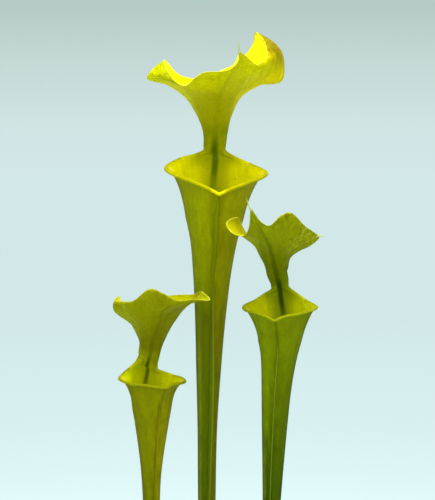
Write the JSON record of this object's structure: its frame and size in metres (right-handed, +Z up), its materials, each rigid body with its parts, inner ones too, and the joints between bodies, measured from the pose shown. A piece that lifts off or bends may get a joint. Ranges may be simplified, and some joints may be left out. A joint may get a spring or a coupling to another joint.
{
  "type": "potted pitcher plant",
  "caption": "Yellow trumpet pitcher plant with tall tube leaves, rolled lips and waved lids, rooted in potting mix in a plain round pot.",
  "frame": {"origin": "centre of the pot's flat base, on the surface that it stands on", "axes": "+Z up along the leaves; -Y towards the viewer, the side that the mouths face; +X to the viewer's right"},
  "size_m": [0.1546, 0.1546, 0.6423],
  "materials": {
    "leaf": "yellow-green veined leaf, satin",
    "rhizome": "rough brown rootstock",
    "soil": "damp peat and grit",
    "pot": "matte moulded plastic"
  },
  "bodies": {
    "root": {"pitcher_tall": "leaf", "pitcher_left": "leaf", "pitcher_right": "leaf", "rhizome": "rhizome", "soil": "soil", "pot": "pot"}
  },
  "joints": []
}
